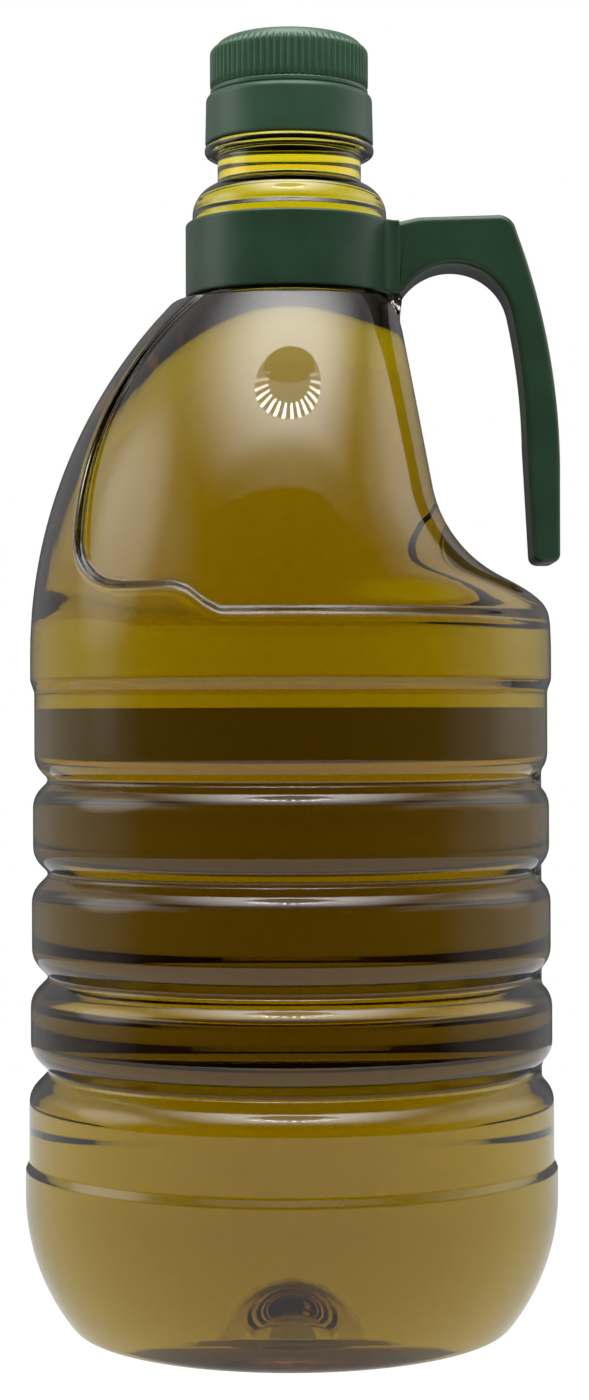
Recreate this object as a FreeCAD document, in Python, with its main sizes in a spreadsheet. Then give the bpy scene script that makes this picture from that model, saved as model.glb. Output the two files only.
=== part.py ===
import FreeCAD, Part
import math
import os
import re
import Sketcher

# A two-litre olive oil jug: a clear blown bottle with three ribs, a hand scoop and a
# recessed shoulder panel, the oil in it, a ribbed screw cap, a smooth band below the cap
# and a clip-on handle with a free lower end.
#
# Frame: +Z up, Z = 0 on the foot ring, the bottle's axis on X = Y = 0, the handle at +X.
# Lengths are in millimetres and angles in degrees. Every height is measured from the foot.

SIZES = {
    # bottle, from the foot up
    "wall": 0.6,
    "foot_inner_radius": 43.0,
    "foot_rounding": 5.0,
    "hollow_arc": 50.0,
    "hollow_height": 9.0,
    "boss_foot_radius": 19.5,
    "boss_radius": 13.0,
    "boss_height": 15.0,
    "base_radius": 59.95,
    "base_arc": 47.0,
    "base_height": 31.0,
    "base_step_height": 36.0,
    "base_step_run": 4.5,
    "lower_band_radius": 59.1,
    "valley_radius": 54.4,
    "valley_one": 58.5,
    "valley_two": 79.6,
    "valley_three": 102.7,
    "valley_four": 123.7,
    "rib_one_radius": 58.7,
    "rib_two_radius": 58.4,
    "rib_three_radius": 58.1,
    "rib_rounding": 6.0,
    "valley_rounding": 1.2,
    "pillar_radius": 56.0,
    "pillar_width": 15.0,
    "waist_radius": 57.75,
    "waist_step_height": 143.3,
    "waist_step_run": 2.6,
    "step_rounding": 2.0,
    "body_radius": 58.65,
    "ogive_height": 151.5,
    "shoulder_shelf": 4.553,
    "shoulder_height": 230.9,
    "shoulder_rounding": 2.2,
    "seat_radius": 21.9,
    "dome_height": 250.6,
    "dome_arc": 7.2,
    "neck_radius": 16.2,
    "neck_wall": 1.8,
    "ring_overhang": 2.9,
    "ring_height": 264.0,
    "ring_thickness": 2.7,
    "ring_rounding": 1.2,
    "lug_overhang": 4.1,
    "lug_width": 8.0,
    # recessed panel and hand scoop of the shoulder
    "panel_recess": 2.3,
    "ledge_height": 159.8,
    "ledge_start": -14.7,
    "notch_height": 165.5,
    "notch_start": -23.6,
    "panel_corner": 10.0,
    "ridge_reach": 45.7,
    "ridge_top": -20.2,
    "ridge_arc": 71.0,
    "scoop_shelf": 2.334,
    "scoop_height": 189.0,
    "scoop_arc": 28.0,
    "scoop_lean": 10.5,
    "scoop_floor": 26.0,
    "scoop_fullness": 0.65,
    "scoop_edge_recess": 0.9,
    # oil
    "oil_level": 272.0,
    # band and cap
    "band_wall": 2.6,
    "band_height": 11.2,
    "band_rounding": 1.3,
    "closure_clearance": 0.2,
    "cap_wall": 1.1,
    "cap_height": 12.5,
    "cap_top_wall": 2.0,
    "cap_rounding": 4.2,
    "cap_rib_count": 72,
    "cap_rib_depth": 0.35,
    "cap_rib_width": 0.7,
    "cap_rib_crest": 0.28,
    "cap_rib_start": 0.9,
    "cap_rib_length": 8.2,
    # handle
    "collar_clearance": 0.15,
    "collar_wall": 1.45,
    "collar_rise": 1.6,
    "collar_height": 15.5,
    "arm_width": 16.4,
    "arm_root_run": 0.7,
    "arm_top_rise": 17.3,
    "arm_slope_run": 5.5,
    "arm_slope_rise": 16.6,
    "arm_corner_run": 25.5,
    "arm_corner": 3.6,
    "arm_corner_arc": 4.3,
    "arch_centre_run": 13.1,
    "arch_centre_drop": 6.9,
    "arch_radius": 13.2,
    "grip_lean": 11.0,
    "grip_outer_run": 36.9,
    "grip_bow": 155.0,
    "grip_bow_drop": 42.5,
    "grip_drop": 60.5,
    "grip_end_run": 30.9,
    "grip_mid_run": 29.4,
    "grip_mid_drop": 33.8,
    "grip_inner_bow": 150.0,
    "grip_rounding": 1.0,
}

# Rib tops and valleys, named in order from the base to the shoulder.
VALLEYS = ["valley_one", "valley_two", "valley_three", "valley_four"]
BANDS = ["lower_band_radius", "rib_one_radius", "rib_two_radius", "rib_three_radius", "waist_radius"]

# Level sections of the recessed shoulder: above the scoop, round its bend, down its floor.
STRAIGHT_SECTIONS = 6
BEND_SECTIONS = 9
FLOOR_SECTIONS = 5

# The shoulder's arc starts upright at the body and meets the shoulder's edge beside the seat.
SHOULDER_RUN = "(body_radius - seat_radius - shoulder_shelf)"
OGIVE_ARC = f"(((shoulder_height - ogive_height)^2 + {SHOULDER_RUN}^2) / (2 * {SHOULDER_RUN}))"

# Sizes that follow from the sheet. Runs and rises of the handle are counted from its collar.
RING_RADIUS = "neck_radius + ring_overhang"
CLOSURE_BORE = "neck_radius + closure_clearance"
BAND_RADIUS = f"{CLOSURE_BORE} + band_wall"
CAP_RADIUS = f"{CLOSURE_BORE} + cap_wall"
LIP = "ring_height + ring_thickness + band_height + cap_height - cap_top_wall"
COLLAR_START = "shoulder_height + collar_rise"
COLLAR_BORE = "seat_radius + collar_clearance"
COLLAR_RADIUS = f"{COLLAR_BORE} + collar_wall"

# Two places this close are the same.
NEAR = 0.01

doc = FreeCAD.newDocument("olive_oil_jug")


def make_sheet():
    """Put each driving size in a row of its own, with its name beside it as the alias."""
    sheet = doc.addObject("Spreadsheet::Sheet", "Sizes")
    for row, (name, value) in enumerate(SIZES.items(), start=1):
        sheet.set(f"A{row}", name)
        sheet.set(f"B{row}", str(value))
        sheet.setAlias(f"B{row}", name)
    doc.recompute()
    return sheet


sheet = make_sheet()


def size(expression):
    """The value of an expression on the sheet's names."""
    return float(sheet.evalExpression(expression))


def bind(target, prop, expression):
    """Bind a property to an expression whose names are the sheet's aliases."""
    words = re.sub(r"[a-z_]+", lambda word: f"Sizes.{word[0]}" if word[0] in SIZES else word[0], expression)
    target.setExpression(prop, words)


def new_body(name):
    body = doc.addObject("PartDesign::Body", name)
    body.Label = name
    return body


def new_sketch(body, name, role, offset=None):
    """A sketch on one of the body's own origin planes, lifted off it by an expression."""
    plane = [f for f in body.Origin.OriginFeatures if f.Role == role][0]
    sketch = body.newObject("Sketcher::SketchObject", name)
    sketch.AttachmentSupport = [(plane, "")]
    sketch.MapMode = "FlatFace"
    if offset:
        bind(sketch, "AttachmentOffset.Base.z", offset)
    return sketch


def fix_point(sketch, edge, end, x, y):
    """Dimension one end of an edge from the sketch's origin."""
    for kind, expression in (("DistanceX", x), ("DistanceY", y)):
        number = sketch.addConstraint(Sketcher.Constraint(kind, -1, 1, edge, end, size(expression)))
        bind(sketch, f"Constraints[{number}]", expression)


def arc_between(start, end, radius, turn):
    """An arc of the shorter kind from start to end; turn is 1 anticlockwise, -1 clockwise."""
    chord = end - start
    rise = math.sqrt(radius ** 2 - (chord.Length / 2) ** 2)
    across = FreeCAD.Vector(-chord.y, chord.x, 0).normalize() * rise * turn
    centre = (start + end) * 0.5 + across
    circle = Part.Circle(centre, FreeCAD.Vector(0, 0, 1), radius)
    first, last = (start, end) if turn > 0 else (end, start)
    return Part.ArcOfCircle(circle, circle.parameter(first), circle.parameter(last))


def draw_outline(sketch, corners):
    """Close an outline through corners, each (x, y) or (x, y, radius, turn).

    The last two make the edge that leaves the corner an arc. All entries but turn are
    expressions, which become the sketch's constraints.
    """
    places = [FreeCAD.Vector(size(c[0]), size(c[1]), 0) for c in corners]
    ends = []
    for number, corner in enumerate(corners):
        start, end = places[number], places[(number + 1) % len(corners)]
        if len(corner) == 2:
            edge = sketch.addGeometry(Part.LineSegment(start, end), False)
            ends.append((edge, 1, 2))
            continue
        turn = corner[3]
        edge = sketch.addGeometry(arc_between(start, end, size(corner[2]), turn), False)
        ends.append((edge, 1, 2) if turn > 0 else (edge, 2, 1))
    for number, (edge, start, _) in enumerate(ends):
        before, _, finish = ends[number - 1]
        sketch.addConstraint(Sketcher.Constraint("Coincident", before, finish, edge, start))
        fix_point(sketch, edge, start, corners[number][0], corners[number][1])
        if len(corners[number]) > 2:
            radius = corners[number][2]
            held = sketch.addConstraint(Sketcher.Constraint("Radius", edge, size(radius)))
            bind(sketch, f"Constraints[{held}]", radius)


def revolve(body, name, sketch):
    feature = body.newObject("PartDesign::Revolution", name)
    feature.Profile = sketch
    feature.ReferenceAxis = (sketch, ["V_Axis"])
    feature.Angle = 360
    doc.recompute()
    return feature


def pad(body, name, sketch, length, midplane=False):
    feature = body.newObject("PartDesign::Pad", name)
    feature.Profile = sketch
    feature.Midplane = midplane
    bind(feature, "Length", length)
    doc.recompute()
    return feature


def pocket_through(body, name, sketch, length):
    """Cut the sketch's outline to both sides of its plane."""
    before = body.Tip.Shape.Volume
    feature = body.newObject("PartDesign::Pocket", name)
    feature.Profile = sketch
    feature.Midplane = True
    bind(feature, "Length", length)
    doc.recompute()
    if feature.Shape.Volume > before - 1:
        raise ValueError(f"{name} cuts nothing")
    return feature


def round_edges(body, name, radius, wanted):
    """Fillet the edges of the body's last feature that wanted(edge) picks."""
    base = body.Tip
    names = [f"Edge{n}" for n, e in enumerate(base.Shape.Edges, start=1) if wanted(e)]
    if not names:
        raise ValueError(f"{name} finds no edge")
    fillet = body.newObject("PartDesign::Fillet", name)
    fillet.Base = (base, names)
    bind(fillet, "Radius", radius)
    doc.recompute()
    return fillet


def on_circles(*places):
    """A test for full circles about the axis at the given (radius, height) expressions."""
    wanted = [(size(r), size(z)) for r, z in places]

    def test(edge):
        if not isinstance(edge.Curve, Part.Circle):
            return False
        centre, radius = edge.Curve.Center, edge.Curve.Radius
        return any(abs(radius - r) < NEAR and abs(centre.z - z) < NEAR for r, z in wanted)

    return test


def valley_corners(inset):
    """The lower corner, the bottom and the upper corner of each valley, sides at 45 degrees."""
    corners = []
    for number, valley in enumerate(VALLEYS):
        below, above = BANDS[number], BANDS[number + 1]
        corners.append((f"{below} - {inset}", f"{valley} - {below} + valley_radius"))
        corners.append((f"valley_radius - {inset}", valley))
        corners.append((f"{above} - {inset}", f"{valley} + {above} - valley_radius"))
    return corners


def arc_radius_at(centre_radius, centre_height, arc, height):
    """Radius from the axis of a point at a height on an arc whose centre is given."""
    return f"{centre_radius} + sqrt(({arc})^2 - ({height} - ({centre_height}))^2)"


def make_shape_of_revolution(name, inset, neck_bore, top):
    """The bottle's round form, its surface set inwards by inset all over.

    The outline runs up the axis side of the foot, round the base, over the ribs and
    along the ogive to the shoulder, the handle's seat, the dome and the neck.
    """
    body = new_body(name)
    sketch = new_sketch(body, f"{name}_outline", "XZ_Plane")
    ogive_top = f"shoulder_height - {inset}"
    ogive_radius = arc_radius_at(f"body_radius - {OGIVE_ARC}", "ogive_height",
                                 f"{OGIVE_ARC} - {inset}", ogive_top)
    base_foot = arc_radius_at("base_radius - base_arc", "base_height", f"base_arc - {inset}", inset)
    dome_top = arc_radius_at("dome_height", "seat_radius - dome_arc", f"dome_arc - {inset}", neck_bore)
    corners = [
        ("0", f"boss_height + {inset}"),
        ("0", top),
        (neck_bore, top),
        (neck_bore, dome_top, f"dome_arc - {inset}", -1),
        (f"seat_radius - {inset}", "dome_height"),
        (f"seat_radius - {inset}", ogive_top),
        (ogive_radius, ogive_top, f"{OGIVE_ARC} - {inset}", -1),
        (f"body_radius - {inset}", "ogive_height"),
        (f"body_radius - {inset}", "waist_step_height + waist_step_run"),
        (f"waist_radius - {inset}", "waist_step_height"),
    ]
    corners += reversed(valley_corners(inset))
    corners += [
        (f"lower_band_radius - {inset}", "base_step_height + base_step_run"),
        (f"base_radius - {inset}", "base_step_height"),
        (f"base_radius - {inset}", "base_height", f"base_arc - {inset}", -1),
        (base_foot, inset),
        ("foot_inner_radius", inset, "hollow_arc", 1),
        ("boss_foot_radius", f"hollow_height + {inset}"),
        ("boss_radius", f"boss_height + {inset}"),
    ]
    draw_outline(sketch, corners)
    revolve(body, f"{name}_round", sketch)

    rib_edges = valley_corners(inset)
    round_edges(body, f"{name}_foot_rounding", f"foot_rounding - {inset}", on_circles((base_foot, inset)))
    round_edges(body, f"{name}_rib_rounding", f"rib_rounding - {inset}",
                on_circles(*(rib_edges[0::3] + rib_edges[2::3])))
    round_edges(body, f"{name}_valley_rounding", f"valley_rounding + {inset}", on_circles(*rib_edges[1::3]))
    round_edges(body, f"{name}_step_rounding", "step_rounding", on_circles(
        (f"waist_radius - {inset}", "waist_step_height"),
        (f"body_radius - {inset}", "waist_step_height + waist_step_run"),
        (f"lower_band_radius - {inset}", "base_step_height + base_step_run"),
        (f"base_radius - {inset}", "base_step_height")))
    round_edges(body, f"{name}_shoulder_rounding", f"shoulder_rounding - {inset}",
                on_circles((ogive_radius, ogive_top)))
    cut_panel(body, name, inset)
    return body


def cut_panel(body, name, inset):
    """Cut away the shoulder beside the ridge and above the ledge, front and back alike.

    The ridge falls from the shoulder along an arc, turns a round corner to the notch and
    slants down to the level ledge, which runs on to the handle side.
    """
    sketch = new_sketch(body, f"{name}_panel_outline", "XZ_Plane")
    outer = "base_radius + panel_corner"
    low = f"ledge_height - {inset}"
    notch = f"notch_height - {inset}"
    reach = f"-ridge_reach - {inset}"
    draw_outline(sketch, [
        (outer, low),
        (outer, f"shoulder_height - {inset}"),
        (f"ridge_top - {inset}", f"shoulder_height - {inset}", "ridge_arc", 1),
        (reach, f"{notch} + panel_corner", "panel_corner", 1),
        (f"{reach} + panel_corner", notch),
        (f"notch_start - {inset}", notch),
        (f"ledge_start - {inset}", low),
    ])
    pocket_through(body, f"{name}_panel", sketch, "4 * base_radius")


def scoop_reach(height):
    """How far the scooped side stands from the axis on the handle side at a height.

    From the shoulder it leans outwards in a straight line, turns outwards along an arc
    and ends in a sloping floor.
    """
    lean = math.radians(size("scoop_lean"))
    floor = math.radians(size("scoop_floor"))
    arc = size("scoop_arc")
    top = size("seat_radius + scoop_shelf")
    bend = top + (size("shoulder_height") - size("scoop_height")) * math.tan(lean)
    centre = bend + arc * math.cos(lean)
    level = size("scoop_height") + arc * math.sin(lean)
    if height >= size("scoop_height"):
        return top + (size("shoulder_height") - height) * math.tan(lean)
    if height >= level - arc * math.cos(floor):
        return centre - math.sqrt(arc ** 2 - (level - height) ** 2)
    return centre - arc * math.sin(floor) + (level - arc * math.cos(floor) - height) / math.tan(floor)


def core_section(height, inset):
    """A level outline of the recessed shoulder: round on one side, scooped at +X.

    It is four cubic curves. Their handles are those of a circle on the round side. On the
    side of the hand they are longer by the scoop's fullness, as far as the outline stays
    inside the round form.
    """
    round_handle = 4 / 3 * (math.sqrt(2) - 1)
    arc = size(OGIVE_ARC)
    rise = height - size("ogive_height")
    ogive = size("body_radius") - arc + math.sqrt(arc ** 2 - rise ** 2) - inset
    depth = ogive - size("panel_recess")
    reach = min(scoop_reach(height + inset) - inset, ogive - size("scoop_edge_recess"))
    widest = (8 / math.hypot(1, reach / depth) - 4) / 3
    scoop_handle = min(size("scoop_fullness"), widest)
    edges = []
    for side_x, side_y, across, handle in (
        (1, -1, reach, scoop_handle),
        (1, 1, reach, scoop_handle),
        (-1, 1, depth, round_handle),
        (-1, -1, depth, round_handle),
    ):
        front = [(0, side_y * depth), (side_x * across * handle, side_y * depth)]
        side = [(side_x * across, side_y * depth * handle), (side_x * across, 0)]
        poles = front + side
        if side_x * side_y > 0:
            poles.reverse()
        curve = Part.BezierCurve()
        curve.setPoles([FreeCAD.Vector(x, y, height) for x, y in poles])
        edges.append(curve.toShape())
    return Part.Wire(edges)


def make_core(name, inset):
    """The recessed part of the shoulder: ruled faces between level sections.

    The sections are evenly spaced above the scoop, follow the turn of the scoop's arc,
    and end below the ledge, inside the round body.
    """
    top = size("shoulder_height") - inset
    low = size("ledge_height") - 2 * size("wall") - inset
    lean = math.radians(size("scoop_lean"))
    floor = math.radians(size("scoop_floor"))
    level = size("scoop_height") + size("scoop_arc") * math.sin(lean) - inset
    turns = [lean + (math.pi / 2 - floor - lean) * n / BEND_SECTIONS for n in range(BEND_SECTIONS + 1)]
    heights = [level - size("scoop_arc") * math.sin(turn) for turn in turns]
    above = [top + (heights[0] - top) * n / STRAIGHT_SECTIONS for n in range(STRAIGHT_SECTIONS)]
    below = [heights[-1] + (low - heights[-1]) * n / FLOOR_SECTIONS for n in range(1, FLOOR_SECTIONS + 1)]
    wires = [core_section(height, inset) for height in above + heights + below]
    core = doc.addObject("Part::Feature", name)
    core.Label = name
    core.Shape = Part.makeLoft(wires, True, True)
    return core


def make_pillar(name, inset):
    """The upright pillar that bridges the valleys on the handle side."""
    body = new_body(name)
    sketch = new_sketch(body, f"{name}_outline", "XZ_Plane")
    low, high = "valley_one - rib_rounding", "valley_four + rib_rounding"
    inside, outside = "valley_radius - rib_rounding", f"pillar_radius - {inset}"
    draw_outline(sketch, [(inside, low), (outside, low), (outside, high), (inside, high)])
    pad(body, f"{name}_pad", sketch, f"pillar_width - 2 * {inset}", midplane=True)
    return body


def make_lug():
    """The lug on the shoulder that stops the handle turning."""
    body = new_body("lug")
    sketch = new_sketch(body, "lug_outline", "XZ_Plane")
    low, high = "shoulder_height - 2 * shoulder_rounding", f"{COLLAR_START} - collar_clearance"
    inside = "seat_radius - wall / 2"
    draw_outline(sketch, [(inside, low), ("seat_radius + shoulder_rounding", low),
                          ("seat_radius + lug_overhang", high), (inside, high)])
    pad(body, "lug_pad", sketch, "lug_width", midplane=True)
    return body


def combine(kind, name, shapes):
    """A Part::MultiFuse of shapes, or a Part::Cut or Part::Common of two."""
    feature = doc.addObject(kind, name)
    feature.Label = name
    if kind == "Part::MultiFuse":
        feature.Shapes = shapes
    else:
        feature.Base, feature.Tool = shapes
    doc.recompute()
    return feature


def make_ring():
    body = new_body("support_ring")
    sketch = new_sketch(body, "support_ring_outline", "XZ_Plane")
    top = "ring_height + ring_thickness"
    inside = "neck_radius - neck_wall / 2"
    draw_outline(sketch, [(inside, "ring_height"), (RING_RADIUS, "ring_height"),
                          (RING_RADIUS, top), (inside, top)])
    revolve(body, "support_ring_round", sketch)
    round_edges(body, "support_ring_rounding", "ring_rounding",
                on_circles((RING_RADIUS, "ring_height"), (RING_RADIUS, top)))
    return body


def make_bottle_and_oil():
    outside = make_shape_of_revolution("bottle_outside", "0", "neck_radius", LIP)
    inside = make_shape_of_revolution("bottle_inside", "wall", "neck_radius - neck_wall",
                                      f"{LIP} + cap_top_wall")
    full = combine("Part::MultiFuse", "bottle_full", [
        outside, make_core("core_outside", 0.0), make_pillar("pillar_outside", "0"),
        make_lug(), make_ring()])
    space = combine("Part::MultiFuse", "bottle_space", [
        inside, make_core("core_inside", size("wall")), make_pillar("pillar_inside", "wall")])
    bottle = combine("Part::Cut", "bottle", [full, space])
    level = doc.addObject("Part::Cylinder", "oil_limit")
    bind(level, "Radius", "2 * base_radius")
    bind(level, "Height", "oil_level")
    doc.recompute()
    oil = combine("Part::Common", "oil", [space, level])
    return bottle, oil


def make_band():
    """The smooth band that stands on the support ring."""
    body = new_body("band")
    sketch = new_sketch(body, "band_outline", "XZ_Plane")
    low = "ring_height + ring_thickness"
    high = f"{low} + band_height"
    draw_outline(sketch, [(CLOSURE_BORE, low), (BAND_RADIUS, low),
                          (BAND_RADIUS, high), (CLOSURE_BORE, high)])
    revolve(body, "band_round", sketch)
    round_edges(body, "band_rounding_top", "band_rounding", on_circles((BAND_RADIUS, high)))
    return body


def make_cap():
    """The screw cap: a round shell with fine upright ribs, open below."""
    body = new_body("cap")
    sketch = new_sketch(body, "cap_outline", "XZ_Plane")
    low = "ring_height + ring_thickness + band_height"
    high = f"{low} + cap_height"
    inner = f"{high} - cap_top_wall"
    draw_outline(sketch, [(CLOSURE_BORE, low), (CAP_RADIUS, low), (CAP_RADIUS, high), ("0", high),
                          ("0", inner), (CLOSURE_BORE, inner)])
    revolve(body, "cap_round", sketch)
    round_edges(body, "cap_top_rounding", "cap_rounding", on_circles((CAP_RADIUS, high)))
    sketch = new_sketch(body, "cap_rib_section", "XY_Plane", f"{low} + cap_rib_start")
    inside = f"{CAP_RADIUS} - cap_rib_depth"
    crest = f"{CAP_RADIUS} + cap_rib_depth"
    draw_outline(sketch, [(inside, "-cap_rib_width / 2"), (CAP_RADIUS, "-cap_rib_width / 2"),
                          (crest, "-cap_rib_crest / 2"), (crest, "cap_rib_crest / 2"),
                          (CAP_RADIUS, "cap_rib_width / 2"), (inside, "cap_rib_width / 2")])
    rib = pad(body, "cap_rib", sketch, "cap_rib_length")
    ribs = body.newObject("PartDesign::PolarPattern", "cap_ribs")
    ribs.Originals = [rib]
    ribs.Axis = (sketch, ["N_Axis"])
    ribs.Angle = 360
    bind(ribs, "Occurrences", "cap_rib_count")
    body.Tip = ribs
    doc.recompute()
    return body


def arch_end():
    """Where the arch under the arm turns into the grip, as expressions for X and Z."""
    centre = f"{COLLAR_RADIUS} + arch_centre_run"
    height = f"{COLLAR_START} - arch_centre_drop"
    return f"{centre} + arch_radius * cos(grip_lean)", f"{height} + arch_radius * sin(grip_lean)"


def outlines_the_grip(edge):
    """Whether an edge bounds one of the grip's flat faces, past the arch and below the corner."""
    face = size("arm_width / 2")
    inner = size(arch_end()[0])
    corner_end = size(f"{COLLAR_START} + arm_top_rise - arm_corner")
    places = [vertex.Point for vertex in edge.Vertexes]
    on_one_face = all(abs(p.y - face) < NEAR for p in places) or all(abs(p.y + face) < NEAR for p in places)
    return on_one_face and all(p.x > inner - NEAR and p.z < corner_end + NEAR for p in places)


def make_handle():
    """A collar round the bottle's seat, an arm that arches over and a grip with a free end."""
    body = new_body("handle")
    root = f"{COLLAR_BORE} - collar_wall"
    collar_top = f"{COLLAR_START} + collar_height"
    arm_top = f"{COLLAR_START} + arm_top_rise"
    grip_outside = f"{COLLAR_RADIUS} + grip_outer_run"
    grip_end = f"{COLLAR_START} - grip_drop"
    arch_foot = f"{COLLAR_RADIUS} + arch_centre_run - sqrt(arch_radius^2 - arch_centre_drop^2)"
    corner = f"{COLLAR_RADIUS} + arm_corner_run"
    sketch = new_sketch(body, "arm_outline", "XZ_Plane")
    draw_outline(sketch, [
        (root, COLLAR_START),
        (arch_foot, COLLAR_START, "arch_radius", -1),
        (*arch_end(), "grip_inner_bow", -1),
        (f"{COLLAR_RADIUS} + grip_mid_run", f"{COLLAR_START} - grip_mid_drop"),
        (f"{COLLAR_RADIUS} + grip_end_run", grip_end),
        (grip_outside, grip_end),
        (grip_outside, f"{COLLAR_START} - grip_bow_drop", "grip_bow", 1),
        (f"{corner} + arm_corner / 2", f"{arm_top} - arm_corner", "arm_corner_arc", 1),
        (f"{corner} - arm_corner / 2", arm_top),
        (f"{COLLAR_RADIUS} + arm_slope_run", f"{COLLAR_START} + arm_slope_rise"),
        (f"{COLLAR_RADIUS} + arm_root_run", collar_top),
        (root, collar_top),
    ])
    pad(body, "arm_pad", sketch, "arm_width", midplane=True)
    round_edges(body, "grip_edge_rounding", "grip_rounding", outlines_the_grip)
    sketch = new_sketch(body, "collar_outline", "XZ_Plane")
    draw_outline(sketch, [(root, COLLAR_START), (COLLAR_RADIUS, COLLAR_START),
                          (COLLAR_RADIUS, collar_top), (root, collar_top)])
    revolve(body, "collar_round", sketch)
    sketch = new_sketch(body, "collar_bore_outline", "XZ_Plane")
    draw_outline(sketch, [("0", COLLAR_START), (COLLAR_BORE, COLLAR_START),
                          (COLLAR_BORE, collar_top), ("0", collar_top)])
    groove = body.newObject("PartDesign::Groove", "collar_bore")
    groove.Profile = sketch
    groove.ReferenceAxis = (sketch, ["V_Axis"])
    groove.Angle = 360
    doc.recompute()
    return body


def check_document():
    for thing in doc.Objects:
        if "Invalid" in thing.State or "Error" in thing.State:
            raise ValueError(f"{thing.Name} failed: {thing.State}")


def write_step(feature):
    shape = feature.Shape
    if shape.isNull() or not shape.isValid() or len(shape.Solids) != 1:
        raise ValueError(f"{feature.Label} is not one valid solid")
    shape.exportStep(f"parts/{feature.Label}.step")
    print(f"{feature.Label}: {shape.Volume / 1000:.2f} cm3, box {shape.BoundBox}")


def main():
    bottle, oil = make_bottle_and_oil()
    nodes = [bottle, oil, make_band(), make_cap(), make_handle()]
    doc.recompute()
    check_document()
    os.makedirs("parts", exist_ok=True)
    for node in nodes:
        write_step(node)


main()
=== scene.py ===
import math

import bpy
import numpy as np
from bpy.props import FloatProperty, FloatVectorProperty, IntProperty, PointerProperty
from bpy.types import Operator, Panel, PropertyGroup
from mathutils import Matrix, Vector


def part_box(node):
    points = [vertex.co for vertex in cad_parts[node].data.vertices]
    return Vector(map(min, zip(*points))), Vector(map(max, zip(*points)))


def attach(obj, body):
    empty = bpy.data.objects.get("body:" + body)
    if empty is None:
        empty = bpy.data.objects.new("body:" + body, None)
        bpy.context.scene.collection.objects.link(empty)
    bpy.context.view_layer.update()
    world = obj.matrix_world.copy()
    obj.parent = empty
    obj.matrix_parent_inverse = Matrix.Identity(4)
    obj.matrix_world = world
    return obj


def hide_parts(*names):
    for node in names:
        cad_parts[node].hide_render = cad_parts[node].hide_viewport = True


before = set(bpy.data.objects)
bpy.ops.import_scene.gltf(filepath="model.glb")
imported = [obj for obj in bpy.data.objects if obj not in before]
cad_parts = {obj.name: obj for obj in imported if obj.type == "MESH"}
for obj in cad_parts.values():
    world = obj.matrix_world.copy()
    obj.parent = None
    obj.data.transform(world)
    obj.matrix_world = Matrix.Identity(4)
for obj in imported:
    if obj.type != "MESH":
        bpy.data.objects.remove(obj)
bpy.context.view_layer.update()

bl_info = {
    "name": "Olive Oil Jug",
    "version": (1, 0, 0),
    "blender": (4, 5, 0),
    "location": "View3D > Sidebar > Oil Jug",
    "description": "A clear ribbed jug of olive oil with a green screw cap, band and handle",
    "category": "Object",
}

# Lengths inside the shape functions are in millimetres, as in the model's sheet of sizes.
MM = 0.001
CAP_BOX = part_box("cap")
BAND_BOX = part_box("band")
OIL_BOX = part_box("oil")
HANDLE_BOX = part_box("handle")


def length(name, value, text):
    """A length property in metres whose default is given in millimetres."""
    return FloatProperty(name=name, description=text, default=value * MM, unit="LENGTH", precision=5)


def colour(name, value, text, size=3):
    return FloatVectorProperty(name=name, description=text, default=value, size=size,
                               subtype="COLOR", min=0, max=1)


class JugSizes(PropertyGroup):
    wall: length("Wall", 0.6, "Thickness of the bottle's wall")
    neck_wall: length("Neck wall", 1.8, "Thickness of the neck's wall")
    oil_overlap: length("Oil overlap", 0.3, "How far the oil reaches into the wall")
    rib_rounding: length("Rib rounding", 6.0, "Radius of a rib's edges")
    valley_rounding: length("Valley rounding", 1.2, "Radius at the bottom of a valley")
    panel_recess: length("Panel recess", 2.3, "How far the shoulder panel is sunk")
    panel_edge: length("Panel edge", 1.9, "Width of the step round the shoulder panel")
    ledge_height: length("Ledge height", 159.8, "Height of the panel's ledge above the foot")
    cap_ribs: IntProperty(name="Cap ribs", description="Upright ribs round the cap", default=72, min=3)


class JugColours(PropertyGroup):
    oil_density: FloatProperty(name="Oil density", description="How strongly the oil takes up light, per metre",
                               default=150.0, min=0)
    oil: colour("Oil", (0.8967, 0.8613, 0.0), "What the oil lets through")
    cap: colour("Cap", (0.045, 0.105, 0.058), "Moulded cap")
    band: colour("Band", (0.031, 0.074, 0.041), "Moulded band under the cap")
    handle: colour("Handle", (0.022, 0.055, 0.028), "Moulded handle")


# ---------------------------------------------------------------- outlines

def unit(vector):
    return vector / np.linalg.norm(vector)


def arc(centre, radius, start, stop, count):
    """Points of a circle: centre + radius (cos a, sin a), a spread evenly between two angles in degrees."""
    turn = np.radians(np.linspace(start, stop, count))
    return np.column_stack([centre[0] + radius * np.cos(turn), centre[1] + radius * np.sin(turn)])


def arc_between(first, last, radius, side, count):
    """The shorter arc of a radius between two points, its centre on the given side of the chord."""
    first, last = np.array(first, float), np.array(last, float)
    chord = last - first
    half = np.linalg.norm(chord) / 2
    across = np.array([-chord[1], chord[0]]) / (2 * half)
    centre = (first + last) / 2 + side * across * math.sqrt(radius ** 2 - half ** 2)
    start = math.degrees(math.atan2(*(first - centre)[::-1]))
    stop = math.degrees(math.atan2(*(last - centre)[::-1]))
    stop = start + (stop - start + 180) % 360 - 180
    return arc(centre, radius, start, stop, count)


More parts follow.
